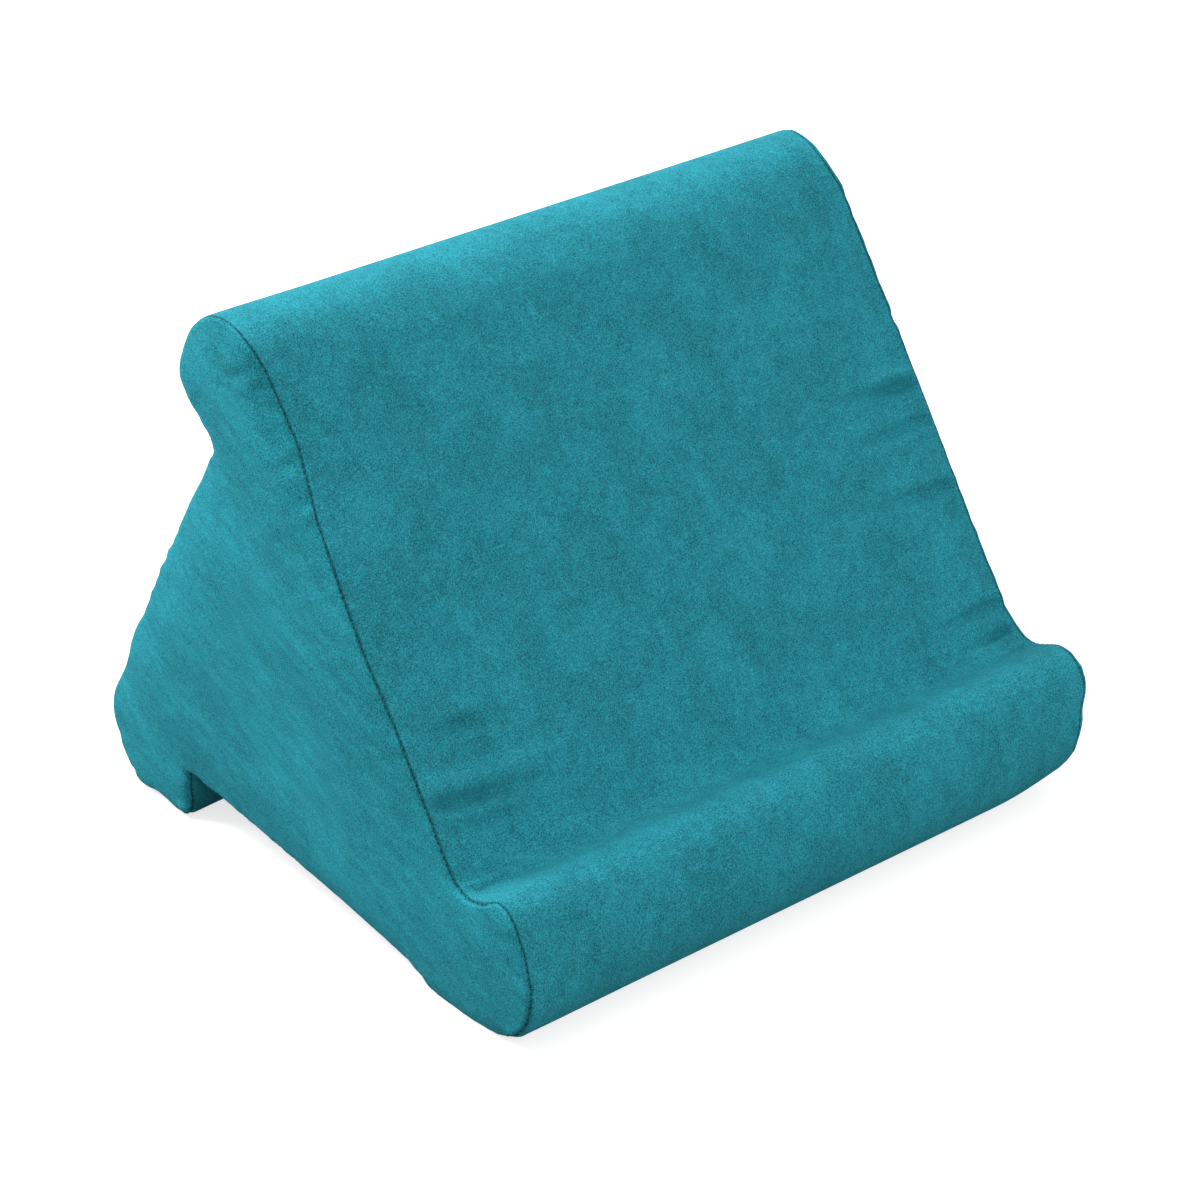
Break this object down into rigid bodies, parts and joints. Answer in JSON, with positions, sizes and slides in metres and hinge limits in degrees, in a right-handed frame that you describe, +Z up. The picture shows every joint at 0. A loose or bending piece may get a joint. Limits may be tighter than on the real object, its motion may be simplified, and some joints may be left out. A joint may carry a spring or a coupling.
{
  "type": "tablet cushion stand",
  "caption": "Wedge-shaped foam cushion in a suede-like fabric cover, with sloping rests and ledges that hold a tablet at a choice of angles.",
  "frame": {"origin": "under the middle of the stand, on the surface that it stands on", "axes": "+X along the stand towards its right end as seen from the front lip, +Y to the back, +Z up"},
  "size_m": [0.2744, 0.248, 0.214],
  "materials": {
    "cover_fabric": "short-nap suede-like polyester, matt with a soft sheen",
    "foam": "plain upholstery foam, matt",
    "zip_tape": "woven tape with moulded teeth in the cover's colour",
    "zip_metal": "lacquered in the cover's colour"
  },
  "bodies": {
    "cushion": {"foam_core": "foam", "cover_wrap": "cover_fabric", "cover_end_left": "cover_fabric", "cover_end_right": "cover_fabric", "zip_half_front": "zip_tape", "zip_half_rear": "zip_tape", "zip_top_stop_front": "zip_metal", "zip_top_stop_rear": "zip_metal", "zip_bottom_stop": "zip_metal"},
    "zip_slider": {"zip_slider": "zip_metal"},
    "zip_pull": {"zip_pull": "zip_metal"}
  },
  "joints": [
    {"name": "zip_travel", "type": "slide", "parent": "cushion", "child": "zip_slider", "axis": [-1, 0, 0], "range_m": [0, 0.173], "deforming": ["zip_half_front", "zip_half_rear"]},
    {"name": "pull_swing", "type": "hinge", "parent": "zip_slider", "child": "zip_pull", "pos_m": [0.0883, 0.04734, 0.01892], "axis": [0, -0.9881, -0.1537], "range_deg": [-85, 85]}
  ]
}
